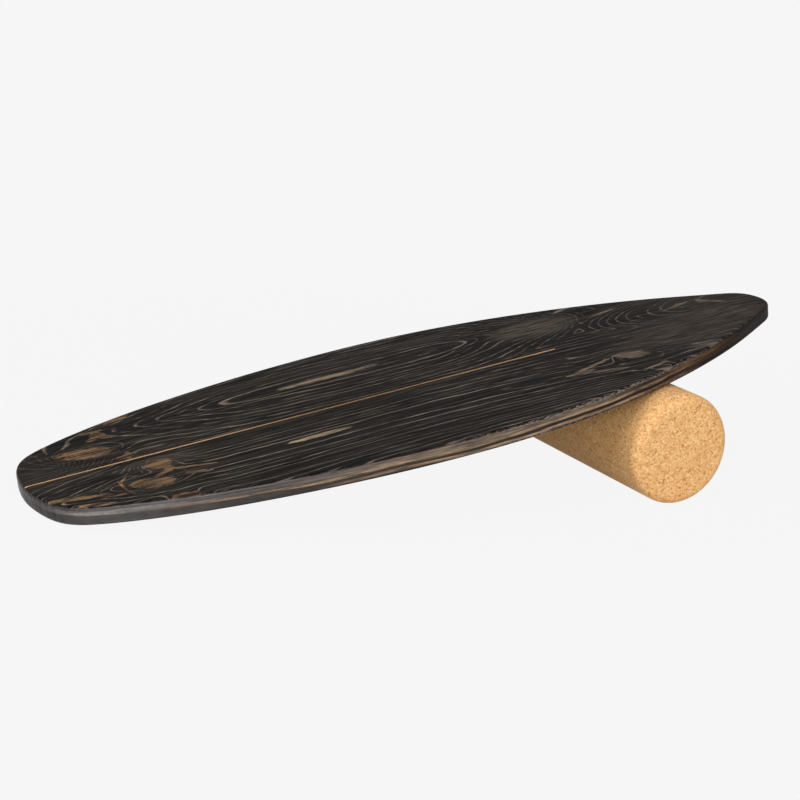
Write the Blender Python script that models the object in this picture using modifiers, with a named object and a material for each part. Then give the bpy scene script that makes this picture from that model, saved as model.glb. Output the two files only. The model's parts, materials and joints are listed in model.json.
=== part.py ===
"""Balance roller board: a flat wooden deck lying tail down over a loose cork roller.

Metres, +X from tail to nose, +Z up, origin under the middle of the whole object at floor level.
The deck, its two stop battens and their screws are modelled flat in the deck's own frame, which
starts at the middle of the tail end on the underside, and lean on the roller as one assembly.
"""
import math

import bmesh
import bpy
from mathutils import Matrix, Vector

# Deck
DECK_LENGTH = 0.740
DECK_WIDTH = 0.290
DECK_THICKNESS = 0.016
EDGE_ROUND = 0.0035
TAIL_WIDTH = 0.150
NOSE_WIDTH = 0.144

# Milled line along the middle of the top
GROOVE_LENGTH = 0.505
GROOVE_WIDTH = 0.0022
GROOVE_DEPTH = 0.0008

# Roller: its ends stand just past the deck where the deck is widest
ROLLER_DIAMETER = 0.100
ROLLER_PAST_DECK = 0.001
ROLLER_LENGTH = DECK_WIDTH + 2 * ROLLER_PAST_DECK
ROLLER_END_ROUND = 0.010
ROLLER_TO_STOPPER = 0.0008

# Stop battens across the underside
STOPPER_LENGTH = 0.096
STOPPER_WIDTH = 0.020
STOPPER_HEIGHT = 0.018
STOPPER_EDGE_ROUND = 0.0025
NOSE_STOPPER_FROM_NOSE = 0.152
TAIL_STOPPER_FROM_TAIL = 0.110

# Countersunk wood screws, three in each batten
SCREWS_PER_STOPPER = 3
SCREW_SPACING = 0.034
SCREW_LENGTH = 0.028
SCREW_SHANK_DIAMETER = 0.004
SCREW_HEAD_DIAMETER = 0.0078
SCREW_HEAD_RIM = 0.0004
SCREW_POINT_LENGTH = 0.005
SCREW_HEAD_SINK = 0.0005
DRIVE_SLOT_LENGTH = 0.0044
DRIVE_SLOT_WIDTH = 0.0009
DRIVE_SLOT_DEPTH = 0.0013

# Clearance between pieces that touch, and how far a cutter runs past the face it opens
FIT_GAP = 0.0003
CUT_PAST = 0.002

COLLECTION_NAME = "balance_roller_board"
CUTTER_COLLECTION_NAME = "cutters"


def clear_scene():
    for old in list(bpy.data.objects):
        bpy.data.objects.remove(old, do_unlink=True)


def make_collection(name):
    collection = bpy.data.collections.new(name)
    bpy.context.scene.collection.children.link(collection)
    return collection


def make_material(name, colour, roughness, metallic=0.0):
    material = bpy.data.materials.new(name)
    material.use_nodes = True
    shader = material.node_tree.nodes["Principled BSDF"]
    shader.inputs["Base Color"].default_value = (*colour, 1.0)
    shader.inputs["Roughness"].default_value = roughness
    shader.inputs["Metallic"].default_value = metallic
    material.diffuse_color = (*colour, 1.0)
    return material


def add_object(name, mesh, collection, parent=None, material=None):
    piece = bpy.data.objects.new(name, mesh)
    collection.objects.link(piece)
    if material is not None:
        mesh.materials.append(material)
    piece.parent = parent
    return piece


def shade_round(mesh, angle_degrees=32.0):
    mesh.shade_smooth()
    mesh.set_sharp_from_angle(angle=math.radians(angle_degrees))


def add_cut(piece, cutter):
    cut = piece.modifiers.new("cut_" + cutter.name, "BOOLEAN")
    cut.operation = "DIFFERENCE"
    cut.object = cutter


def make_cutter(name, mesh, collection, parent):
    cutter = add_object(name, mesh, collection, parent)
    cutter.hide_render = True
    cutter.display_type = "WIRE"
    return cutter


def cubic_spline(controls, steps_per_span):
    """Points of the clamped cubic B-spline over a control polygon, by de Boor's rule."""
    degree = 3
    spans = len(controls) - degree
    knots = [0.0] * degree + [float(k) for k in range(spans + 1)] + [float(spans)] * degree
    points = []
    for step in range(spans * steps_per_span + 1):
        at = step / steps_per_span
        span = min(int(at), spans - 1) + degree
        local = [Vector(controls[span - degree + k]) for k in range(degree + 1)]
        for level in range(1, degree + 1):
            for k in range(degree, level - 1, -1):
                low = knots[span - degree + k]
                high = knots[span + 1 + k - level]
                local[k] = local[k - 1].lerp(local[k], (at - low) / (high - low))
        points.append(local[degree])
    return points


def deck_half_outline(steps_per_span=8):
    """Right-hand edge of the deck, from the middle of the tail round to the nose tip.

    The tail's points stay a fixed distance from the tail and the nose's from the nose tip, so that
    a longer deck gets a longer waist between the same ends.
    """
    tail_half, half, nose_half = TAIL_WIDTH / 2, DECK_WIDTH / 2, NOSE_WIDTH / 2
    tail = [(0.0, 0.0), (0.0, 0.13), (0.004, 0.78), (0.034, 1.08)]
    waist = [(0.14, 0.758), (0.27, 0.91), (0.41, 1.0), (0.55, 1.01), (0.68, 0.895), (0.80, 0.70)]
    nose = [(0.077, 0.955), (0.027, 0.525), (0.0063, 0.37), (0.0, 0.16), (0.0, 0.0)]
    controls = [(x, share * tail_half) for x, share in tail]
    controls += [(place * DECK_LENGTH, share * half) for place, share in waist]
    controls += [(DECK_LENGTH - x, share * nose_half) for x, share in nose]
    return cubic_spline(controls, steps_per_span)


def curve_to_mesh(curve_object, name, merge=0.00001):
    """A closed mesh of a filled curve: its caps are loose until they are merged."""
    bpy.context.view_layer.update()
    evaluated = curve_object.evaluated_get(bpy.context.evaluated_depsgraph_get())
    mesh = bpy.data.meshes.new_from_object(evaluated)
    mesh.name = name
    work = bmesh.new()
    work.from_mesh(mesh)
    bmesh.ops.remove_doubles(work, verts=work.verts, dist=merge)
    bmesh.ops.recalc_face_normals(work, faces=work.faces)
    work.to_mesh(mesh)
    work.free()
    return mesh


def flat_plate(name, outline, thickness, edge_round, collection, parent, rings=4):
    """A plate of the outline with both rims rounded over; its underside is the frame's z = 0."""
    curve = bpy.data.curves.new(name + "_outline", "CURVE")
    curve.dimensions = "2D"
    curve.fill_mode = "BOTH"
    curve.extrude = thickness / 2 - edge_round
    curve.bevel_depth = edge_round
    curve.bevel_resolution = rings
    curve.offset = -edge_round
    spline = curve.splines.new("POLY")
    spline.points.add(len(outline) - 1)
    for point, (x, y) in zip(spline.points, outline):
        point.co = (x, y, 0.0, 1.0)
    spline.use_cyclic_u = True
    curve_object = bpy.data.objects.new(name + "_outline", curve)
    collection.objects.link(curve_object)
    curve_object.parent = parent
    curve_object.location.z = thickness / 2
    mesh = curve_to_mesh(curve_object, name)
    plate = add_object(name, mesh, collection)
    plate.matrix_world = curve_object.matrix_world
    plate.parent = parent
    plate.matrix_parent_inverse = parent.matrix_world.inverted()
    bpy.data.objects.remove(curve_object, do_unlink=True)
    return plate


def box_mesh(name, size, centre):
    work = bmesh.new()
    place = Matrix.Translation(centre) @ Matrix.Diagonal((*size, 1.0))
    bmesh.ops.create_cube(work, size=1.0, matrix=place)
    mesh = bpy.data.meshes.new(name)
    work.to_mesh(mesh)
    work.free()
    return mesh


def turned_piece(name, profile, collection, parent, steps):
    """A solid turned round Z: the profile runs down its outer side from the axis back to the axis."""
    mesh = bpy.data.meshes.new(name)
    edges = [(k, k + 1) for k in range(len(profile) - 1)]
    mesh.from_pydata([(radius, 0.0, height) for radius, height in profile], edges, [])
    piece = add_object(name, mesh, collection, parent)
    turn = piece.modifiers.new("turn", "SCREW")
    turn.axis = "Z"
    turn.steps = steps
    turn.render_steps = steps
    turn.use_merge_vertices = True
    turn.merge_threshold = 0.00001
    turn.use_smooth_shade = True
    return piece


def joined_mesh(name, meshes_and_places):
    """Several separate solids in one mesh."""
    work = bmesh.new()
    for mesh, place in meshes_and_places:
        copy = mesh.copy()
        copy.transform(place)
        work.from_mesh(copy)
        bpy.data.meshes.remove(copy)
    mesh = bpy.data.meshes.new(name)
    work.to_mesh(mesh)
    work.free()
    return mesh


def evaluated_mesh(piece, name):
    bpy.context.view_layer.update()
    evaluated = piece.evaluated_get(bpy.context.evaluated_depsgraph_get())
    mesh = bpy.data.meshes.new_from_object(evaluated)
    mesh.name = name
    return mesh


def screw_profile(grow):
    """Half section of a countersunk screw with its head at the top, z = 0 in the head's face.

    grow widens it on every side: zero for the screw itself, a clearance for its hole.
    """
    head = SCREW_HEAD_DIAMETER / 2 + grow
    shank = SCREW_SHANK_DIAMETER / 2 + grow
    cone_foot = -SCREW_HEAD_RIM - (head - shank)
    tip = -SCREW_LENGTH - grow
    return head, shank, cone_foot, tip


def make_screw(parts, parent):
    head, shank, cone_foot, tip = screw_profile(0.0)
    profile = [
        (0.0, 0.0),
        (head, 0.0),
        (head, -SCREW_HEAD_RIM),
        (shank, cone_foot),
        (shank, tip + SCREW_POINT_LENGTH),
        (0.0, tip),
    ]
    return turned_piece("screw", profile, parts, parent, steps=20)


def make_screw_hole(cutters, parent):
    """The space a screw needs: its own shape and a clearance, open above the head."""
    head, shank, cone_foot, tip = screw_profile(FIT_GAP)
    open_end = SCREW_HEAD_SINK + CUT_PAST
    profile = [
        (0.0, open_end),
        (head, open_end),
        (head, -SCREW_HEAD_RIM),
        (shank, cone_foot),
        (shank, tip),
        (0.0, tip),
    ]
    return turned_piece("screw_hole", profile, cutters, parent, steps=20)


def screw_places(stopper_x):
    """Where each screw stands in the deck frame: head down, in a row across the batten."""
    head_level = -(FIT_GAP + STOPPER_HEIGHT) + SCREW_HEAD_SINK
    head_down = Matrix.Rotation(math.pi, 4, "X")
    places = []
    for k in range(SCREWS_PER_STOPPER):
        y = (k - (SCREWS_PER_STOPPER - 1) / 2) * SCREW_SPACING
        places.append(Matrix.Translation((stopper_x, y, head_level)) @ head_down)
    return places


def make_stopper_screws(side, stopper_x, screw_mesh, parts, frame, steel):
    for k, place in enumerate(screw_places(stopper_x)):
        mesh = screw_mesh.copy()
        shade_round(mesh)
        screw = add_object(f"{side}_stopper_screw_{k + 1}", mesh, parts, frame, steel)
        screw.matrix_local = place


def make_stopper(name, stopper_x, hole_cutter, parts, frame, wood):
    centre = (0.0, 0.0, -(FIT_GAP + STOPPER_HEIGHT / 2))
    mesh = box_mesh(name, (STOPPER_WIDTH, STOPPER_LENGTH, STOPPER_HEIGHT), centre)
    stopper = add_object(name, mesh, parts, frame, wood)
    stopper.location.x = stopper_x
    rounding = stopper.modifiers.new("rounded_edges", "BEVEL")
    rounding.width = STOPPER_EDGE_ROUND
    rounding.segments = 3
    rounding.limit_method = "ANGLE"
    add_cut(stopper, hole_cutter)
    return stopper


def make_deck(groove_cutter, hole_cutters, parts, frame, wood):
    right = deck_half_outline()
    left = [(x, -y) for x, y in reversed(right[1:-1])]
    outline = [(p[0], p[1]) for p in right] + left
    deck = flat_plate("deck", outline, DECK_THICKNESS, EDGE_ROUND, parts, frame)
    deck.data.materials.clear()
    deck.data.materials.append(wood)
    shade_round(deck.data)
    for cutter in [groove_cutter] + hole_cutters:
        add_cut(deck, cutter)
    return deck


def make_groove_cutter(cutters, frame):
    """The cut of a straight round-nosed mill: it enters at the tail and stops in a round end."""
    tool_radius = GROOVE_WIDTH / 2
    height = GROOVE_DEPTH + CUT_PAST
    end_x = GROOVE_LENGTH - tool_radius
    outline = [(-CUT_PAST, -tool_radius)]
    for k in range(9):
        angle = -math.pi / 2 + math.pi * k / 8
        outline.append((end_x + tool_radius * math.cos(angle), tool_radius * math.sin(angle)))
    outline.append((-CUT_PAST, tool_radius))
    work = bmesh.new()
    floor = DECK_THICKNESS - GROOVE_DEPTH
    face = work.faces.new([work.verts.new((x, y, floor)) for x, y in outline])
    walls = bmesh.ops.extrude_face_region(work, geom=[face])
    top = [item for item in walls["geom"] if isinstance(item, bmesh.types.BMVert)]
    bmesh.ops.translate(work, verts=top, vec=(0.0, 0.0, height))
    bmesh.ops.recalc_face_normals(work, faces=work.faces)
    mesh = bpy.data.meshes.new("groove")
    work.to_mesh(mesh)
    work.free()
    return make_cutter("groove", mesh, cutters, frame)


def make_roller(contact, cork, parts):
    """A bar of pressed cork on its side: turned round its own axis, which lies along Y."""
    radius, half, round_end = ROLLER_DIAMETER / 2, ROLLER_LENGTH / 2, ROLLER_END_ROUND
    quarter = [math.pi / 2 * k / 8 for k in range(9)]
    upper = [(radius - round_end * (1 - math.sin(a)), half - round_end * (1 - math.cos(a)))
             for a in quarter]
    lower = [(r, -z) for r, z in reversed(upper)]
    profile = [(0.0, half)] + upper + lower + [(0.0, -half)]
    roller = turned_piece("roller", profile, parts, None, steps=72)
    roller.location = contact
    roller.rotation_euler = (math.pi / 2, 0.0, 0.0)
    roller.data.materials.append(cork)
    return roller


def stop_distance():
    """Along the deck, from a batten's middle to the roller's axis when the two all but touch.

    The roller meets the batten on its rounded lower edge, so the two are circles side by side.
    """
    edge_height = ROLLER_DIAMETER / 2 - STOPPER_HEIGHT + STOPPER_EDGE_ROUND
    between = ROLLER_DIAMETER / 2 + STOPPER_EDGE_ROUND + ROLLER_TO_STOPPER
    return STOPPER_WIDTH / 2 - STOPPER_EDGE_ROUND + math.sqrt(between ** 2 - edge_height ** 2)


def deck_tilt(roller_x):
    """The angle at which the rounded tail edge and the roller both stand on the floor."""
    radius = ROLLER_DIAMETER / 2
    along = roller_x - EDGE_ROUND
    down = radius + FIT_GAP + EDGE_ROUND
    return math.atan2(down, along) + math.asin((radius - EDGE_ROUND) / math.hypot(along, down))


def deck_frame_place(roller_x, tilt):
    """Place of the deck frame: tail edge on the floor, whole object centred over the origin."""
    turn = Matrix.Rotation(-tilt, 4, "Y")
    tail_low = turn @ Vector((EDGE_ROUND, 0.0, EDGE_ROUND))
    tail_high = turn @ Vector((EDGE_ROUND, 0.0, DECK_THICKNESS - EDGE_ROUND))
    nose_low = turn @ Vector((DECK_LENGTH - EDGE_ROUND, 0.0, EDGE_ROUND))
    back, front = tail_high.x - EDGE_ROUND, nose_low.x + EDGE_ROUND
    lift = EDGE_ROUND - tail_low.z
    return Matrix.Translation((-(back + front) / 2, 0.0, lift)) @ turn


def main():
    clear_scene()
    parts = make_collection(COLLECTION_NAME)
    cutters = make_collection(CUTTER_COLLECTION_NAME)

    stained_wood = make_material("stained_brushed_softwood", (0.035, 0.030, 0.026), 0.55)
    beech = make_material("oiled_beech", (0.50, 0.33, 0.19), 0.5)
    steel = make_material("zinc_plated_steel", (0.62, 0.62, 0.60), 0.35, metallic=1.0)
    cork = make_material("pressed_cork", (0.66, 0.42, 0.22), 0.8)

    roller_x = DECK_LENGTH - NOSE_STOPPER_FROM_NOSE - stop_distance()
    tilt = deck_tilt(roller_x)
    place = deck_frame_place(roller_x, tilt)
    frame = bpy.data.objects.new("deck_frame", None)
    parts.objects.link(frame)
    frame.matrix_world = place
    bpy.context.view_layer.update()

    nose_stopper_x = DECK_LENGTH - NOSE_STOPPER_FROM_NOSE
    tail_stopper_x = TAIL_STOPPER_FROM_TAIL

    hole = make_screw_hole(cutters, None)
    hole_mesh = evaluated_mesh(hole, "screw_hole")
    bpy.data.objects.remove(hole, do_unlink=True)
    screw = make_screw(parts, None)
    drive_slots = [
        box_mesh("slot", (DRIVE_SLOT_LENGTH, DRIVE_SLOT_WIDTH, 2 * DRIVE_SLOT_DEPTH), (0, 0, 0)),
        box_mesh("slot", (DRIVE_SLOT_WIDTH, DRIVE_SLOT_LENGTH, 2 * DRIVE_SLOT_DEPTH), (0, 0, 0)),
    ]
    for slot in drive_slots:
        add_cut(screw, make_cutter("drive_slot", slot, cutters, None))
    screw_mesh = evaluated_mesh(screw, "screw")
    bpy.data.objects.remove(screw, do_unlink=True)

    deck_cutters = []
    for side, stopper_x in (("nose", nose_stopper_x), ("tail", tail_stopper_x)):
        holes = joined_mesh(side + "_screw_holes",
                            [(hole_mesh, spot) for spot in screw_places(stopper_x)])
        cutter = make_cutter(side + "_screw_holes", holes, cutters, frame)
        deck_cutters.append(cutter)
        make_stopper(side + "_stopper", stopper_x, cutter, parts, frame, beech)
        make_stopper_screws(side, stopper_x, screw_mesh, parts, frame, steel)

    groove = make_groove_cutter(cutters, frame)
    make_deck(groove, deck_cutters, parts, frame, stained_wood)

    roller_centre = place @ Vector((roller_x, 0.0, -(ROLLER_DIAMETER / 2 + FIT_GAP)))
    make_roller(roller_centre, cork, parts)
    bpy.context.view_layer.update()

    travel = roller_x - (TAIL_STOPPER_FROM_TAIL + stop_distance())
    lean = math.degrees(tilt)
    print(f"lean {lean:.4f} deg, roller axis at {roller_x:.5f} along the deck, travel {travel:.5f}")
    print("roller centre", [round(c, 6) for c in roller_centre])
    print("deck frame at", [round(c, 6) for c in place.translation])


main()
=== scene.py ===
"""Balance roller board as photographed: stained deck leaning over its cork roller."""
import json
import math
from types import SimpleNamespace

import bpy
from mathutils import Matrix, Vector


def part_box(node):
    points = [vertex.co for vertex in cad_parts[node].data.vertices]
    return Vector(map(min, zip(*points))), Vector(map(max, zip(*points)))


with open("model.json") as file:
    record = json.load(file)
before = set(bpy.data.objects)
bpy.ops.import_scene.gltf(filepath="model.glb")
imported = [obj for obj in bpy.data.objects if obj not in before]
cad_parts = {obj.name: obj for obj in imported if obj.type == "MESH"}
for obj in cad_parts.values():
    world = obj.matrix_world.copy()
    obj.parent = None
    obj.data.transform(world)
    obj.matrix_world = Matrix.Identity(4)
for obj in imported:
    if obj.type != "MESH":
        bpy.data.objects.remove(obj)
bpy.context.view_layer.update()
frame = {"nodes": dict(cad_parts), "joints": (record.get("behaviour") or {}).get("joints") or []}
bpy.ops.object.select_all(action="DESELECT")

# The deck is one softwood board, flat sawn, brushed along the grain until the hard late wood
# stands proud, and stained black. The stain wears off the ridges, the knots and the routed
# edge, where the wood shows tan, and one milled line is left bare. It lies loose on its roller.
DECK_LENGTH_MM = 740.0
DECK_THICKNESS_MM = 16.0
DECK_EDGE_ROUND_MM = 3.5
GROOVE_END_MM = 505.0
GROOVE_HALF_WIDTH_MM = 1.15
GROOVE_DEPTH_MM = 0.8

# The deck slides along its own length, so the axis of its joint gives the lean
deck_axis = Vector(frame["joints"][0]["axis"])
deck_tilt = math.atan2(deck_axis.z, deck_axis.x)

# Where the tail end would meet the underside if the edge weren't rounded
deck_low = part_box("deck")[0] * 1000
deck_origin_mm = Vector((
    deck_low.x + DECK_EDGE_ROUND_MM * (1 - math.cos(deck_tilt))
    + (DECK_THICKNESS_MM - DECK_EDGE_ROUND_MM) * math.sin(deck_tilt),
    0.0,
    deck_low.z + DECK_EDGE_ROUND_MM * (1 - math.sin(deck_tilt) - math.cos(deck_tilt)),
))


def hex_colour(code):
    """Linear RGBA of an sRGB hex colour."""
    channels = [int(code[k:k + 2], 16) / 255 for k in (1, 3, 5)]
    linear = [c / 12.92 if c <= 0.04045 else ((c + 0.055) / 1.055) ** 2.4 for c in channels]
    return (*linear, 1.0)


def connect(tree, node, inputs):
    """Fills a node's inputs, which come in order or by name.

    A value is set and None is left alone. A socket is linked, and a node by its first output in
    use.
    """
    pairs = inputs.items() if isinstance(inputs, dict) else enumerate(inputs)
    for key, value in pairs:
        if isinstance(value, bpy.types.Node):
            value = next(socket for socket in value.outputs if socket.enabled)
        if isinstance(value, bpy.types.NodeSocket):
            tree.links.new(value, node.inputs[key])
        elif value is not None:
            node.inputs[key].default_value = value


def put(tree, kind, inputs=(), stops=(), straight=False, **settings):
    """Adds a node with its settings and inputs.

    A colour ramp takes stops of a place and a colour, and a curve stops of a place and a height,
    with straight lines between them if asked.
    """
    node = tree.nodes.new(kind)
    for name, value in settings.items():
        setattr(node, name, value)
    connect(tree, node, inputs)
    if kind == "ShaderNodeValToRGB":
        first, last = node.color_ramp.elements
        first.position, first.color = stops[0]
        last.position, last.color = stops[-1]
        for place, colour in stops[1:-1]:
            node.color_ramp.elements.new(place).color = colour
    if kind == "ShaderNodeFloatCurve":
        points = node.mapping.curves[0].points
        points[0].location, points[1].location = stops[0], stops[-1]
        for place, height in stops[1:-1]:
            points.new(place, height)
        for point in points if straight else ():
            point.handle_type = "VECTOR"
        node.mapping.update()
    return node


def new_material(name):
    """A material, its node tree and its shader."""
    material = bpy.data.materials.new(name)
    material.use_nodes = True
    return material, material.node_tree, material.node_tree.nodes["Principled BSDF"]


def give_material(piece, material):
    """Makes this the piece's only material."""
    piece.data.materials.clear()
    piece.data.materials.append(material)


def deck_patterns(tree):
    """Places on the deck, and noises that are long in the grain's direction.

    Places are in millimetres from the tail end, the middle and the underside. Real brush marks
    are 0.3 mm wide and real fibres finer still, so both are drawn as coarse as a render shows.
    """
    place = put(tree, "ShaderNodeMapping", {
        "Vector": put(tree, "ShaderNodeTexCoord").outputs["Object"],
        "Location": deck_origin_mm / 1000,
        "Rotation": (0.0, -deck_tilt, 0.0),
        "Scale": (0.001, 0.001, 0.001),
    }, vector_type="TEXTURE")
    along, aside, height = put(tree, "ShaderNodeSeparateXYZ", [place]).outputs
    board = SimpleNamespace(place=place, along=along, aside=aside, height=height)
    board.flat = put(tree, "ShaderNodeCombineXYZ", [along, aside])
    board.length_share = put(tree, "ShaderNodeMath", [along, DECK_LENGTH_MM],
                             operation="DIVIDE")

    # Less of the worn and the tan wood shows towards the nose
    board.nose_fade = put(tree, "ShaderNodeMapRange", [along, 430.0, 600.0, 1.0, 0.7])

    # Name, length along the grain, width across it, detail
    for name, length, width, detail in (
        ("wave", 95.0, 24.0, 1.0),
        ("ripple", 14.0, 7.0, 1.0),
        ("worn", 38.0, 6.0, 3.0),
        ("fibres", 26.0, 2.4, 4.0),
        ("brush", 70.0, 1.5, 2.0),
        ("ragged", 9.0, 4.0, 2.0),
        ("speckle", 20.0, 1.9, 4.0),
    ):
        stretched = put(tree, "ShaderNodeVectorMath", [place, (1 / length, 1 / width, 1 / width)],
                        operation="MULTIPLY")
        noise = put(tree, "ShaderNodeTexNoise", {
            "Vector": stretched, "Scale": 1.0, "Detail": detail, "Roughness": 0.55,
        })
        setattr(board, name, noise)
    return board


def reach(tree, board, along, aside, half_length, half_width, turn=0):
    """Distance from a spot on the board, which is 1 all round the ellipse of the given size."""
    near = put(tree, "ShaderNodeMapping", {
        "Vector": board.flat, "Location": (along, aside, 0),
        "Rotation": (0, 0, math.radians(turn)), "Scale": (half_length, half_width, 1),
    }, vector_type="TEXTURE")
    return put(tree, "ShaderNodeVectorMath", [near], operation="LENGTH")


def hill(tree, distance):
    """Bell shape: 1 at no distance, 0.37 at 1 and 0.02 at 2."""
    slope = put(tree, "ShaderNodeMath", [distance, 2.0], operation="POWER")
    slope = put(tree, "ShaderNodeMath", [slope, -1.0], operation="MULTIPLY")
    return put(tree, "ShaderNodeMath", [slope], operation="EXPONENT")


def closed_heart(tree, board, count, starts, ends, middle, tail_step, nose_step, depth):
    """Rings closed round a heart that runs level with the face from starts to ends.

    The count across the board is at middle there. Past the two ends a ring comes every
    tail_step or nose_step millimetres. The heart itself is depth rings deep.
    """
    behind = put(tree, "ShaderNodeMath", [starts, board.along], operation="SUBTRACT")
    behind = put(tree, "ShaderNodeMath", [behind, 0.0], operation="MAXIMUM")
    ahead = put(tree, "ShaderNodeMath", [board.along, ends], operation="SUBTRACT")
    ahead = put(tree, "ShaderNodeMath", [ahead, 0.0], operation="MAXIMUM")
    ahead = put(tree, "ShaderNodeMath", [ahead, 1 / nose_step], operation="MULTIPLY")
    past = put(tree, "ShaderNodeMath", [behind, 1 / tail_step, ahead],
               operation="MULTIPLY_ADD")
    beside = put(tree, "ShaderNodeMath", [count, middle], operation="SUBTRACT")

    # The count's five innermost rings are flattened to that depth
    core_rings = 5.0
    away = put(tree, "ShaderNodeCombineXYZ", [past, beside])
    away = put(tree, "ShaderNodeVectorMath", [away, (1 / core_rings,) * 3], operation="MULTIPLY")
    away = put(tree, "ShaderNodeVectorMath", [away], operation="LENGTH")
    outer = put(tree, "ShaderNodeMath", [away, 1.0], operation="SUBTRACT")
    outer = put(tree, "ShaderNodeMath", [outer, 0.0], operation="MAXIMUM")
    inner = put(tree, "ShaderNodeMath", [away, 1.0], operation="MINIMUM")
    inner = put(tree, "ShaderNodeMath", [inner, 2.0], operation="POWER")
    inner = put(tree, "ShaderNodeMath", [inner, depth, -depth], operation="MULTIPLY_ADD")
    return put(tree, "ShaderNodeMath", [outer, core_rings, inner], operation="MULTIPLY_ADD")


def year_rings(tree, board):
    """Ring number at each place: a whole number for the year, and the share of it grown.

    The rings close round two hearts and open round a third one ahead of the nose.
    """
    # The near heart drifts towards its edge on the way to the nose
    least_shift, most_shift = -6.0, 34.0
    drift = put(tree, "ShaderNodeFloatCurve", [None, board.length_share], stops=[
        (along / DECK_LENGTH_MM, (shift - least_shift) / (most_shift - least_shift))
        for along, shift in ((0, 0), (110, -6), (160, 0), (300, 0), (378, 4), (440, 9),
                             (481, 16), (530, 27), (740, 34))
    ])
    drift = put(tree, "ShaderNodeMath", [drift, most_shift - least_shift, least_shift],
                operation="MULTIPLY_ADD")
    near_heart, near_reach = -72.0, 48.0
    near_side = put(tree, "ShaderNodeMath", [board.aside, near_heart], operation="SUBTRACT")
    near_side = put(tree, "ShaderNodeMath", [near_side, near_reach], operation="DIVIDE")
    aside = put(tree, "ShaderNodeMath", [drift, hill(tree, near_side), board.aside],
                operation="MULTIPLY_ADD")

    # The grain wavers, by 11 mm over long stretches and by 2.6 mm over short ones
    wave_mm, ripple_mm = 11.0, 2.6
    aside = put(tree, "ShaderNodeMath", [board.wave, wave_mm, aside], operation="MULTIPLY_ADD")
    aside = put(tree, "ShaderNodeMath", [board.ripple, ripple_mm, aside],
                operation="MULTIPLY_ADD")
    aside = put(tree, "ShaderNodeMath", [aside, (wave_mm + ripple_mm) / 2],
                operation="SUBTRACT")

    # Ring count across the board: a ring every 7 mm or so, every 2 to 3 mm beside the two closed
    # hearts, and every 10 to 12 mm on the near side of each
    near_edge, far_edge = -150.0, 150.0
    first_ring, last_ring = -16.0, 38.5
    width_share = put(tree, "ShaderNodeMapRange", [aside, near_edge, far_edge, 0.0, 1.0])
    count = put(tree, "ShaderNodeFloatCurve", [None, width_share], stops=[
        ((side - near_edge) / (far_edge - near_edge),
         (ring - first_ring) / (last_ring - first_ring))
        for side, ring in ((near_edge, first_ring), (-80, -6), (-68, -5), (-57, 0), (-46, 5),
                           (20, 15), (41, 18), (60.5, 20), (77, 25), (92, 30), (106, 32),
                           (far_edge, last_ring))
    ], straight=True)
    count = put(tree, "ShaderNodeMath", [count, last_ring - first_ring, first_ring],
                operation="MULTIPLY_ADD")

    far = closed_heart(tree, board, count, starts=300, ends=402, middle=25, tail_step=20.0,
                       nose_step=10.5, depth=1.25)
    near = closed_heart(tree, board, count, starts=150, ends=440, middle=0, tail_step=17.0,
                        nose_step=40.0, depth=0.6)
    rings = put(tree, "ShaderNodeMath", [far, near, 1.0], operation="SMOOTH_MIN")

    # The third heart: its place aside, how much narrower than long its rings are, and the
    # square millimetres of distance from ring to ring
    third_heart_aside, third_heart_narrowing, third_heart_ring_mm2 = 27.0, 3.2, 3110.0
    behind = put(tree, "ShaderNodeMath", [DECK_LENGTH_MM, board.along], operation="SUBTRACT")
    behind = put(tree, "ShaderNodeMath", [behind, 0.0], operation="MAXIMUM")
    beside = put(tree, "ShaderNodeMath", [aside, third_heart_aside], operation="SUBTRACT")
    beside = put(tree, "ShaderNodeMath", [beside, third_heart_narrowing], operation="MULTIPLY")
    away = put(tree, "ShaderNodeCombineXYZ", [behind, beside])
    away = put(tree, "ShaderNodeVectorMath", [away, away], operation="DOT_PRODUCT")
    third = put(tree, "ShaderNodeMath", [away, third_heart_ring_mm2], operation="DIVIDE")
    return put(tree, "ShaderNodeMath", [rings, third, 1.5], operation="SMOOTH_MIN")


def lift_round_knots(tree, board, rings):
    """Rings that swing round the knots, with a fan of short arcs beside the biggest one."""
    # Place, half length and half width, turn, rings lifted
    for *knot, lift in (
        (66, 40, 28, 16, -20, 7),
        (104, -22, 20, 15, -25, 6),
        (88, -60, 22, 14, -10, 6),
        (98, -106, 16, 12, 0, 2.6),
        (524, 67, 34, 24, 0, 4.1),
        (548, -62, 24, 15, -15, 5),
        (550, -111, 20, 10, -10, 4),
        (466, -69, 50, 9, -6, 1.5),
    ):
        rings = put(tree, "ShaderNodeMath",
                    [hill(tree, reach(tree, board, *knot)), -lift, rings],
                    operation="MULTIPLY_ADD")

    # The fan: its place, half length and half width, and turn; the side that its arcs bend
    # about, their bend for each square millimetre, and the millimetres from arc to arc
    fan_spot = (57, 13, 30, 14, -22)
    fan_foot, fan_bend, fan_step = 45.0, 0.01, 4.6
    off_foot = put(tree, "ShaderNodeMath", [board.aside, fan_foot], operation="SUBTRACT")
    fan = put(tree, "ShaderNodeMath", [off_foot, off_foot], operation="MULTIPLY")
    fan = put(tree, "ShaderNodeMath", [fan, fan_bend, board.along], operation="MULTIPLY_ADD")
    fan = put(tree, "ShaderNodeMath", [fan, 1 / fan_step], operation="MULTIPLY")
    in_fan = put(tree, "ShaderNodeMath", [board.ragged, 0.5, reach(tree, board, *fan_spot)],
                 operation="MULTIPLY_ADD")
    in_fan = put(tree, "ShaderNodeMath", [in_fan, 1.2], operation="LESS_THAN")
    return put(tree, "ShaderNodeMix", {"Factor": in_fan, "A": rings, "B": fan})


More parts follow.
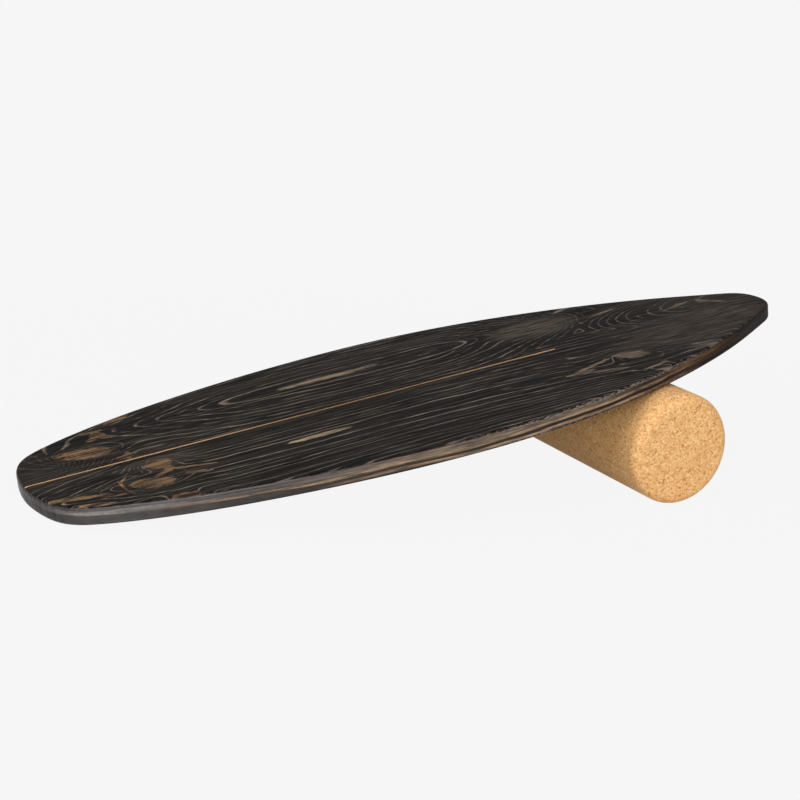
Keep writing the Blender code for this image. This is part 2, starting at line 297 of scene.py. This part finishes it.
def ridge_wear(tree, board, rings):
    """Stain lost by the ridges, the closing rings most, and stain lost by the wood between."""
    own = put(tree, "ShaderNodeTexWhiteNoise", {
        "W": put(tree, "ShaderNodeMath", [rings], operation="FLOOR"),
    }, noise_dimensions="1D")
    closing = put(tree, "ShaderNodeMath", [rings, 0.1], operation="ADD")
    closing = put(tree, "ShaderNodeMath", [closing], operation="ABSOLUTE")
    wear = put(tree, "ShaderNodeMapRange", [closing, 0.2, 1.0, 0.65, 0.0])
    for noise, weight in ((own, 0.6), (board.worn, 2.2), (board.fibres, 1.6)):
        wear = put(tree, "ShaderNodeMath", [noise, weight, wear], operation="MULTIPLY_ADD")
    wear = put(tree, "ShaderNodeMath", [wear, 1.8], operation="SUBTRACT", use_clamp=True)

    # Parts where the ridges kept their stain or the soft wood lost some. Place, half length and
    # half width, share kept by the ridges, share lost by the soft wood
    haze = 0.0
    for *spot, kept, lost in (
        (330, 108, 200, 11, 0.5, 0.1),
        (290, -12, 140, 17, 0.6, 0.0),
        (300, -112, 160, 22, 0.4, 0.0),
        (524, 67, 46, 24, 0.85, 0.7),
        (640, -35, 90, 45, 0.75, 0.35),
        (700, 30, 60, 60, 0.4, 0.2),
        (110, -22, 40, 14, 0.0, 0.3),
        (16, 25, 32, 46, 0.7, 0.1),
        (57, 13, 32, 20, 0.5, 0.0),
    ):
        near = put(tree, "ShaderNodeMapRange",
                   [reach(tree, board, *spot), 0.5, 1.3, 1.0, 0.0],
                   interpolation_type="SMOOTHSTEP")
        share = put(tree, "ShaderNodeMath", [near, -kept, 1.0], operation="MULTIPLY_ADD")
        wear = put(tree, "ShaderNodeMath", [wear, share], operation="MULTIPLY")
        haze = put(tree, "ShaderNodeMath", [near, lost, haze], operation="MULTIPLY_ADD")
    flecks = put(tree, "ShaderNodeMapRange", [board.speckle, 0.34, 0.6, 0.5, 1.05])
    for share in (board.nose_fade, flecks):
        wear = put(tree, "ShaderNodeMath", [wear, share], operation="MULTIPLY")

    # The soft wood has lost stain in flecks, and on the upper face only
    speckle = put(tree, "ShaderNodeMapRange", [board.speckle, 0.34, 0.68, 0.0, 1.0])
    upper = put(tree, "ShaderNodeMath", [board.height, DECK_THICKNESS_MM / 2],
                operation="GREATER_THAN")
    for share in (speckle, upper):
        haze = put(tree, "ShaderNodeMath", [haze, share], operation="MULTIPLY")
    return wear, haze


def stained_face(tree, board, ridge, wear, haze):
    """Colour of the brushed face: near-black soft wood, and greyish ridges where they are worn."""
    fibre = put(tree, "ShaderNodeMapRange", [board.fibres, 0.35, 0.7, 0.0, 1.0])
    soft_wood = put(tree, "ShaderNodeMix", {
        "Factor": fibre, "A": hex_colour("#0b0a0a"), "B": hex_colour("#221f1d"),
    }, data_type="RGBA")
    scratches = put(tree, "ShaderNodeMapRange", [board.brush, 0.54, 0.72, 0.0, 0.5])
    for share, code in ((scratches, "#575049"), (haze, "#6a5f56")):
        soft_wood = put(tree, "ShaderNodeMix", {
            "Factor": share, "A": soft_wood, "B": hex_colour(code),
        }, data_type="RGBA")
    late_wood = put(tree, "ShaderNodeMix", {
        "Factor": put(tree, "ShaderNodeMapRange", [board.along, 150.0, 560.0, 0.0, 1.0]),
        "A": hex_colour("#796d60"), "B": hex_colour("#7e756c"),
    }, data_type="RGBA")
    lines = put(tree, "ShaderNodeMath", [ridge, wear], operation="MULTIPLY")
    return put(tree, "ShaderNodeMix", {"Factor": lines, "A": soft_wood, "B": late_wood},
               data_type="RGBA")


def tan_patches(tree, board):
    """Share and colour of the tan wood: the knots, and spots where the cut follows late wood."""
    # Place, half length and half width, turn
    reaches = [reach(tree, board, *patch) for patch in (
        # The four knots beside the tail
        (66, 39, 25, 13, -22),
        (106, -24, 13, 12, -30),
        (88, -61, 19, 11, -20),
        (99, -106, 14, 9, 0),
        # Spots round them
        (89, 76, 5, 13, 12),
        (84, 70, 12, 4, 25),
        (93, 66, 10, 3.5, -25),
        (84, 86, 12, 3, 0),
        (93, 12, 12, 3, 8),
        (93, 12, 3, 10, -12),
        (110, -38, 4, 10, -10),
        (104, -46, 14, 3, 30),
        (127, -48, 20, 2.2, -20),
        (127, -63, 12, 3.2, -20),
        (66.3, -53, 1.4, 12, 0),
        (71.3, -39, 1.4, 7, -39),
        (79, -36, 5.5, 1.4, -20),
        (67.5, -66, 1.4, 8, 12),
        (24, -51, 26, 4, -18),
        (52, -64, 14, 3, -25),
        (36, -74, 15, 3, -22),
        (113, 103, 16, 4, 20),
        # Two long ones half way along the board
        (239, -55.2, 29, 3.8, 0),
        (308, 75, 50, 4.3, 2),
        # A knot and spots towards the nose
        (548, -62, 18, 9, -25),
        (553, -113, 16, 3.2, -12),
        (560, -121, 17, 2.6, 10),
        (503, -64, 28, 2.4, 17),
        (503, -81, 28, 2.4, -17),
        (486, -72.5, 17, 3.2, 0),
        (575, 98, 15, 3, 20),
        (618, -78, 18, 2.4, -12),
        (545, -101, 16, 2, 12),
        (664, 30, 20, 2.4, 15),
        (697, 20, 20, 2.2, -54),
        (599, 62, 17, 2.2, 11),
    )]
    nearest = reaches[0]
    for distance in reaches[1:]:
        nearest = put(tree, "ShaderNodeMath", [nearest, distance, 0.25],
                      operation="SMOOTH_MIN")
    nearest = put(tree, "ShaderNodeMath", [board.ragged, 0.9, nearest],
                  operation="MULTIPLY_ADD")
    share = put(tree, "ShaderNodeMapRange", [nearest, 1.2, 1.55, 1.0, 0.0],
                interpolation_type="SMOOTHSTEP")
    share = put(tree, "ShaderNodeMath", [share, board.nose_fade], operation="MULTIPLY")

    # Each patch has fine rings of its own, lighter and darker by turns
    own_rings = put(tree, "ShaderNodeMath", [nearest, 26.0], operation="MULTIPLY")
    own_rings = put(tree, "ShaderNodeMath", [own_rings], operation="SINE")
    tone = put(tree, "ShaderNodeMath", [own_rings, 0.2, -2.65], operation="MULTIPLY_ADD")
    tone = put(tree, "ShaderNodeMath", [board.worn, 2.8, tone], operation="MULTIPLY_ADD")
    tone = put(tree, "ShaderNodeMath", [board.fibres, 3.6, tone], operation="MULTIPLY_ADD",
               use_clamp=True)
    light = put(tree, "ShaderNodeValToRGB", [board.length_share], stops=[
        (place, hex_colour(code)) for place, code in (
            (0.09, "#85684d"), (0.12, "#6e5741"), (0.17, "#7c6148"), (0.28, "#a59077"),
            (0.34, "#a08b73"), (0.4, "#81715b"), (0.47, "#7c6b5b"),
        )
    ])
    dark = put(tree, "ShaderNodeMix", {
        "Factor": put(tree, "ShaderNodeMapRange", [board.along, 120.0, 200.0, 0.0, 1.0]),
        "A": hex_colour("#2a221b"), "B": hex_colour("#4a4139"),
    }, data_type="RGBA")
    colour = put(tree, "ShaderNodeMix", {"Factor": tone, "A": dark, "B": light},
                 data_type="RGBA")
    return share, colour


def routed_edge(tree, board, tail_end):
    """Colour of the smooth edge: stain rubbed grey at the tail, with a painted highlight on the
    upper rounding and painted shade at the bottom, near-black at the nose from stain and painted
    shade, and tan layers.

    The layers show where the blade ran along late wood; the first, beside the tail, is a painted
    highlight. Heights are shares of the thickness.
    """
    # Fine dark layers, 32 mm long and 1.4 mm high
    layer_noise = put(tree, "ShaderNodeTexNoise", {
        "Vector": put(tree, "ShaderNodeVectorMath", [board.place, (1 / 32, 1 / 50, 1 / 1.4)],
                      operation="MULTIPLY"),
        "Scale": 1.0, "Detail": 4.0, "Roughness": 0.7,
    })
    dark_layers = put(tree, "ShaderNodeMath", [board.ragged, 0.35, layer_noise],
                      operation="MULTIPLY_ADD")
    dark_layers = put(tree, "ShaderNodeMapRange", [dark_layers, 0.5, 0.84, 0.7, 0.0])
    height_share = put(tree, "ShaderNodeMath", [board.height, DECK_THICKNESS_MM],
                       operation="DIVIDE")
    # Grey by height, with painted light: the lighter band at 0.68 is a painted highlight standing
    # for lamp light on the upper rounding, and the darkest line at the very bottom is painted
    # shade
    edge_grey_and_painted_light = put(tree, "ShaderNodeValToRGB", [height_share], stops=[
        (place, hex_colour(code)) for place, code in (
            (0.0, "#282422"), (0.1, "#3c3735"), (0.5, "#3f3936"), (0.68, "#5f5957"),
            (0.84, "#4c4645"), (1.0, "#2e2a28"),
        )
    ])
    edge_grey_and_painted_light = put(tree, "ShaderNodeMix", {
        "Factor": dark_layers, "A": edge_grey_and_painted_light, "B": hex_colour("#241d19"),
    }, data_type="RGBA")
    # Towards the nose the edge turns near-black: partly the stain, and partly painted shade of the
    # nose's edge, which turns away from the light
    grey_fades_to_painted_shade = put(tree, "ShaderNodeMapRange", [board.along, 260.0, 640.0, 1.0, 0.0])
    edge = put(tree, "ShaderNodeMix", {
        "Factor": grey_fades_to_painted_shade, "A": hex_colour("#0f0906"), "B": edge_grey_and_painted_light,
    }, data_type="RGBA")
    edge = put(tree, "ShaderNodeMix", {
        "Factor": tail_end, "A": edge, "B": hex_colour("#1d1917"),
    }, data_type="RGBA")

    layer_wave_mm = 5.0
    level = put(tree, "ShaderNodeMath", [board.wave, layer_wave_mm, board.height],
                operation="MULTIPLY_ADD")
    level = put(tree, "ShaderNodeMapRange",
                [level, layer_wave_mm / 2, DECK_THICKNESS_MM + layer_wave_mm / 2, 0.0, 1.0])
    broken = put(tree, "ShaderNodeMapRange", [layer_noise, 0.35, 0.6, 0.1, 1.0])
    specks = put(tree, "ShaderNodeMapRange", [board.speckle, 0.35, 0.6, 0.6, 1.1])
    # Where a layer begins, is full, fades and ends, its colour, and its strength by height. The
    # first is a painted highlight: a pale grey band on the rim beside the tail, where a lamp's
    # reflection falls on the rounding
    for begins, full, fades, ends, code, strengths in (
        (0, 22, 60, 110, "#87827f", ((0.56, 0.0), (0.66, 0.75), (0.78, 0.75), (0.88, 0.0))),
        (60, 160, 500, 610, "#a3876a", ((0.46, 0.0), (0.52, 1.0), (0.6, 0.9), (0.66, 0.0))),
        (160, 260, 440, 520, "#a18a72", ((0.62, 0.0), (0.7, 0.55), (0.84, 0.25), (0.94, 0.0))),
        (200, 270, 500, 600, "#a3876a", ((0.15, 0.0), (0.21, 1.0), (0.29, 1.0), (0.36, 0.0),
                                         (0.8, 0.0), (0.86, 0.4), (0.92, 0.0))),
        (520, 570, 595, 665, "#8f683f", ((0.52, 0.0), (0.64, 0.55), (0.8, 0.55), (0.9, 0.0))),
        (540, 580, 640, 735, "#6d4526", ((0.3, 0.0), (0.38, 0.25), (0.5, 0.25), (0.6, 0.0))),
    ):
        run = put(tree, "ShaderNodeFloatCurve", [None, level], straight=True,
                  stops=((0.0, 0.0), *strengths, (1.0, 0.0)))
        rise = put(tree, "ShaderNodeMapRange", [board.along, begins, full, 0.0, 1.0])
        fall = put(tree, "ShaderNodeMapRange", [board.along, fades, ends, 1.0, 0.0])
        for share in (rise, fall, broken):
            run = put(tree, "ShaderNodeMath", [run, share], operation="MULTIPLY")
        run = put(tree, "ShaderNodeMath", [run, specks], operation="MULTIPLY", use_clamp=True)
        edge = put(tree, "ShaderNodeMix", {"Factor": run, "A": edge, "B": hex_colour(code)},
                   data_type="RGBA")
    return edge


def torn_fibres(tree, board, past_border):
    """Pale fibres along the brushed border, where the blade ran against the grain.

    Real ones are about 0.1 mm thick, and these are drawn 0.8 mm thick so that they show.
    """
    hairs = put(tree, "ShaderNodeTexNoise", {
        "Vector": put(tree, "ShaderNodeVectorMath", [board.place, (1 / 4, 1 / 1.5, 1 / 0.8)],
                      operation="MULTIPLY"),
        "Scale": 1.0, "Detail": 1.0,
    })
    hairs = put(tree, "ShaderNodeMapRange", [hairs, 0.46, 0.64, 0.0, 0.7])
    at_border = put(tree, "ShaderNodeMath", [past_border, 0.2], operation="SUBTRACT")
    at_border = put(tree, "ShaderNodeMath", [at_border], operation="ABSOLUTE")
    at_border = put(tree, "ShaderNodeMapRange", [at_border, 0.7, 1.5, 1.0, 0.0])
    rise = put(tree, "ShaderNodeMapRange", [board.along, 300.0, 400.0, 0.0, 1.0])
    fall = put(tree, "ShaderNodeMapRange", [board.along, 560.0, 630.0, 1.0, 0.0])
    for share in (at_border, rise, fall):
        hairs = put(tree, "ShaderNodeMath", [hairs, share], operation="MULTIPLY")
    return hairs


def milled_line(tree, board):
    """Share and colour of the bare wood in the groove, which stain has crept into half way."""
    off_line = put(tree, "ShaderNodeMath", [board.aside], operation="ABSOLUTE")
    bare = put(tree, "ShaderNodeMath", [off_line, GROOVE_HALF_WIDTH_MM], operation="LESS_THAN")
    for value, limit, operation in (
        (board.along, GROOVE_END_MM, "LESS_THAN"),
        (board.height, DECK_THICKNESS_MM - 0.1, "LESS_THAN"),
        (board.height, DECK_THICKNESS_MM - GROOVE_DEPTH_MM - 0.1, "GREATER_THAN"),
    ):
        inside = put(tree, "ShaderNodeMath", [value, limit], operation=operation)
        bare = put(tree, "ShaderNodeMath", [bare, inside], operation="MULTIPLY")
    halfway = 320.0
    from_halfway = put(tree, "ShaderNodeMath", [board.along, halfway], operation="SUBTRACT")
    from_halfway = put(tree, "ShaderNodeMath", [from_halfway], operation="ABSOLUTE")
    crept = put(tree, "ShaderNodeMapRange", [from_halfway, 60.0, 170.0, 1.0, 0.0])
    colour = put(tree, "ShaderNodeMix", {
        "Factor": crept, "A": hex_colour("#c4a37c"), "B": hex_colour("#a4845e"),
    }, data_type="RGBA")
    return bare, colour


def edge_oil(tree, board, brushed, tail_end):
    """Oil standing on the smooth edge, most beside the tail, where it was rubbed down."""
    oil = put(tree, "ShaderNodeMapRange", [board.along, 60.0, 660.0, 1.0, 0.0])
    oil = put(tree, "ShaderNodeMath", [oil, 6.0], operation="POWER")
    for dry in (brushed, tail_end):
        wet = put(tree, "ShaderNodeMath", [1.0, dry], operation="SUBTRACT")
        oil = put(tree, "ShaderNodeMath", [oil, wet], operation="MULTIPLY")
    blotch = put(tree, "ShaderNodeMapRange", [board.worn, 0.35, 0.65, 0.6, 1.6])
    return put(tree, "ShaderNodeMath", [oil, blotch], operation="MULTIPLY", use_clamp=True)


def stained_brushed_spruce():
    """Flat-sawn spruce, wire brushed and stained black.

    Each year's ring is a soft band that drinks the stain and a narrow hard one that stays proud
    and greyish tan. The brushed faces are matt, and the routed edge between them is smooth.
    """
    material, tree, shader = new_material("stained_brushed_spruce")
    board = deck_patterns(tree)

    # Late wood comes on slowly and ends sharply
    rings = lift_round_knots(tree, board, year_rings(tree, board))
    year = put(tree, "ShaderNodeMath", [rings], operation="FRACT")
    early, late = (0.0, 0.0, 0.0, 1.0), (1.0, 1.0, 1.0, 1.0)
    ridge = put(tree, "ShaderNodeValToRGB", [year],
                stops=((0.76, early), (0.87, late), (0.95, late), (1.0, early)))
    wear, haze = ridge_wear(tree, board, rings)
    face = stained_face(tree, board, ridge, wear, haze)
    tan, tan_wood = tan_patches(tree, board)
    face = put(tree, "ShaderNodeMix", {"Factor": tan, "A": face, "B": tan_wood},
               data_type="RGBA")

    # The brush wraps over the rim of both faces, raggedly, and furthest along the sides
    past_border = put(tree, "ShaderNodeMath", [board.height, DECK_THICKNESS_MM / 2],
                      operation="SUBTRACT")
    past_border = put(tree, "ShaderNodeMath", [past_border], operation="ABSOLUTE")
    past_border = put(tree, "ShaderNodeMath", [board.ragged, 1.6, past_border],
                      operation="MULTIPLY_ADD")
    rim = put(tree, "ShaderNodeMapRange", [board.along, 60.0, 330.0, 7.3, 6.7])
    past_border = put(tree, "ShaderNodeMath", [past_border, rim], operation="SUBTRACT")
    brushed = put(tree, "ShaderNodeMapRange", [past_border, -0.1, 0.6, 0.0, 1.0])

    # The tail's own end was rubbed and oiled less than its sides
    tail_end = put(tree, "ShaderNodeMapRange", [board.along, 2.0, 30.0, 0.75, 0.0])
    wood = put(tree, "ShaderNodeMix", {
        "Factor": brushed, "A": routed_edge(tree, board, tail_end), "B": face,
    }, data_type="RGBA")
    bare, bare_wood = milled_line(tree, board)
    for share, colour in (
        (torn_fibres(tree, board, past_border), hex_colour("#857b72")),
        (bare, bare_wood),
    ):
        wood = put(tree, "ShaderNodeMix", {"Factor": share, "A": wood, "B": colour},
                   data_type="RGBA")

    relief = put(tree, "ShaderNodeMath", [board.fibres, 0.4, ridge], operation="MULTIPLY_ADD")
    relief = put(tree, "ShaderNodeMath", [relief, brushed], operation="MULTIPLY")
    connect(tree, shader, {
        "Base Color": wood,
        "Normal": put(tree, "ShaderNodeBump", {
            "Height": relief, "Strength": 0.6, "Distance": 0.0004,
        }),
        "Roughness": put(tree, "ShaderNodeMapRange", [brushed, 0.0, 1.0, 0.45, 0.75]),
        "Coat Weight": edge_oil(tree, board, brushed, tail_end),
        "Coat Roughness": 0.26,
        "Specular IOR Level": 0.03,
    })
    return material


give_material(frame["nodes"]["deck"], stained_brushed_spruce())


# The roller is a bar turned from pressed cork: bark granules of 1 to 3 mm bound under heat, so
# every cut shows light and dark grains side by side, with a few specks of hard brown bark. It is
# loose: the deck only rests on it.
def pressed_cork():
    """Agglomerated cork, sanded: matt, warm tan, each granule its own tone."""
    material, tree, shader = new_material("pressed_cork")
    where = put(tree, "ShaderNodeTexCoord").outputs["Object"]

    # Bends the granules' borders, so that none is straight
    jitter = put(tree, "ShaderNodeTexNoise", {"Vector": where, "Scale": 400.0, "Detail": 1.0})
    jitter = put(tree, "ShaderNodeVectorMath", {0: jitter.outputs["Color"], "Scale": 0.0012},
                 operation="SCALE")
    where = put(tree, "ShaderNodeVectorMath", [where, jitter], operation="ADD")

    # Granules of 1.9 and 1.1 mm; their dust, under 0.5 mm, is too fine to show and left out
    tone = 0.0
    for granule_mm, weight in ((1.1, 0.55), (1.9, 0.45)):
        granules = put(tree, "ShaderNodeTexVoronoi", {"Vector": where, "Scale": 1000 / granule_mm})
        own = put(tree, "ShaderNodeSeparateColor", [granules.outputs["Color"]])
        tone = put(tree, "ShaderNodeMath", [own, weight, tone], operation="MULTIPLY_ADD")
    cork = put(tree, "ShaderNodeValToRGB", [tone], stops=[
        (place, hex_colour(code)) for place, code in (
            (0.0, "#9a6536"), (0.14, "#b27b43"), (0.28, "#cf985b"), (0.5, "#dca668"),
            (0.8, "#e6bb80"), (1.0, "#f0cf9c"),
        )
    ])

    # Pits open in the seams between the biggest granules, of 2.8 mm
    seams = put(tree, "ShaderNodeTexVoronoi", {"Vector": where, "Scale": 1000 / 2.8},
                feature="DISTANCE_TO_EDGE")
    pits = put(tree, "ShaderNodeMapRange", [seams, 0.0, 0.12, 0.0, 1.0])
    connect(tree, shader, {
        "Base Color": cork,
        "Normal": put(tree, "ShaderNodeBump", {
            "Height": pits, "Strength": 0.35, "Distance": 0.0003,
        }),
        "Roughness": 0.75,
    })
    return material


give_material(frame["nodes"]["roller"], pressed_cork())


# The stop battens are planed beech, oiled, rounded over on all edges and screwed on across the
# underside, where they keep the roller from running out at either end.
def oiled_beech():
    """Beech: pink-brown, even, with short dark flecks along the grain.

    Real flecks are 0.3 mm wide, and these are drawn 1.1 mm wide and 17 mm long to show.
    """
    material, tree, shader = new_material("oiled_beech")
    flecks_per_metre = (900.0, 60.0, 900.0)
    stretched = put(tree, "ShaderNodeVectorMath",
                    [put(tree, "ShaderNodeTexCoord").outputs["Object"], flecks_per_metre],
                    operation="MULTIPLY")
    grain = put(tree, "ShaderNodeTexNoise", {"Vector": stretched, "Scale": 1.0, "Detail": 3.0})
    connect(tree, shader, {
        "Base Color": put(tree, "ShaderNodeMix", {
            "Factor": grain, "A": hex_colour("#9c6f48"), "B": hex_colour("#cfa379"),
        }, data_type="RGBA"),
        "Roughness": 0.48,
    })
    return material


beech = oiled_beech()
for name in ("nose_stopper", "tail_stopper"):
    give_material(frame["nodes"][name], beech)


# The screws are cold-headed steel wood screws, zinc plated, with a cross drive. Three hold each
# batten from below, with their heads sunk in it.
def zinc_plated_steel():
    """Bright zinc: silver grey, half glossy, faintly blotched every millimetre or so."""
    material, tree, shader = new_material("zinc_plated_steel")
    blotch = put(tree, "ShaderNodeTexNoise", {
        "Vector": put(tree, "ShaderNodeTexCoord").outputs["Object"],
        "Scale": 900.0, "Detail": 2.0,
    })
    connect(tree, shader, {
        "Base Color": put(tree, "ShaderNodeMix", {
            "Factor": blotch, "A": hex_colour("#a8a8a2"), "B": hex_colour("#d6d6d0"),
        }, data_type="RGBA"),
        "Roughness": put(tree, "ShaderNodeMapRange", [blotch, 0.3, 0.7, 0.25, 0.42]),
        "Metallic": 1.0,
    })
    return material


zinc = zinc_plated_steel()
for name, node in frame["nodes"].items():
    if "screw" in name:
        give_material(node, zinc)


# Plain pale floor. The photograph's ground is one even white, so the floor keeps only a faint
# shadow near the object, and fades to the background's white around it.
BACKGROUND = "#f6f6f6"


def in_view(tree):
    """1 where the camera, a reflection or glass looks, and 0 where light only bounces."""
    ray = put(tree, "ShaderNodeLightPath")
    seen = ray.outputs["Is Camera Ray"]
    for other in ("Is Glossy Ray", "Is Transmission Ray"):
        seen = put(tree, "ShaderNodeMath", [seen, ray.outputs[other]], operation="MAXIMUM")
    return seen


def pale_floor():
    """Matt white that looks like the background, and entirely so from 1.1 m away."""
    material, tree, shader = new_material("pale_floor")
    tree.nodes.remove(shader)
    matt = put(tree, "ShaderNodeBsdfDiffuse", {"Color": hex_colour("#e9e9e9")})
    glow = put(tree, "ShaderNodeEmission", {"Color": hex_colour(BACKGROUND), "Strength": 1.0})
    away = put(tree, "ShaderNodeVectorMath", [put(tree, "ShaderNodeTexCoord").outputs["Object"]],
               operation="LENGTH")
    faded = put(tree, "ShaderNodeMapRange", [away, 0.35, 1.1, 0.98, 1.0],
                interpolation_type="SMOOTHSTEP")
    share = put(tree, "ShaderNodeMath", [in_view(tree), faded], operation="MULTIPLY")
    connect(tree, tree.nodes["Material Output"], {
        "Surface": put(tree, "ShaderNodeMixShader", [share, matt, glow]),
    })
    return material


bpy.ops.mesh.primitive_plane_add(size=30.0, location=(0.0, 0.0, 0.0))
floor = bpy.context.active_object
floor.name = "floor"
floor.data.materials.append(pale_floor())

# Soft studio light: a broad overhead box towards the tail, and a weaker one from the front
world = bpy.data.worlds.new("studio")
bpy.context.scene.world = world
world.use_nodes = True
sky = world.node_tree
sky.nodes.clear()
ambient = put(sky, "ShaderNodeBackground", {"Color": hex_colour("#ffffff"), "Strength": 0.45})
white = put(sky, "ShaderNodeBackground", {"Color": hex_colour(BACKGROUND), "Strength": 1.0})
put(sky, "ShaderNodeOutputWorld", {
    "Surface": put(sky, "ShaderNodeMixShader", [in_view(sky), ambient, white]),
})


def soft_box(name, place, size, watts):
    """Square area lamp that faces the object."""
    light = bpy.data.lights.new(name, "AREA")
    light.shape = "SQUARE"
    light.size = size
    light.energy = watts
    lamp = bpy.data.objects.new(name, light)
    bpy.context.scene.collection.objects.link(lamp)
    lamp.location = place
    object_middle = Vector((0.0, 0.0, 0.05))
    towards = object_middle - Vector(place)
    lamp.rotation_euler = towards.to_track_quat("-Z", "Y").to_euler()


soft_box("overhead_left", (-1.1, -0.3, 1.5), 1.4, 20.0)
soft_box("front", (-0.5, -1.9, 0.75), 1.2, 22.0)

# The camera stands where the photograph was taken from, with the photograph's slight roll
PHOTO_WIDTH_PX = 800
FOCAL_LENGTH_PX = 1752.8
camera_data = bpy.data.cameras.new("camera")
camera_data.sensor_width = 36.0
camera_data.lens = camera_data.sensor_width * FOCAL_LENGTH_PX / PHOTO_WIDTH_PX
camera = bpy.data.objects.new("camera", camera_data)
bpy.context.scene.collection.objects.link(camera)
camera_place = Vector((-0.74915, -1.31518, 0.46435))
forward = Vector((0.46537, 0.84761, -0.25493)).normalized()
upward = Vector((0.05506, 0.25974, 0.96411))
sideways = forward.cross(upward).normalized()
upward = sideways.cross(forward)
turn = Matrix((sideways, upward, -forward)).transposed()
camera.matrix_world = Matrix.Translation(camera_place) @ turn.to_4x4()
bpy.context.scene.camera = camera
bpy.context.scene.view_settings.view_transform = "Standard"
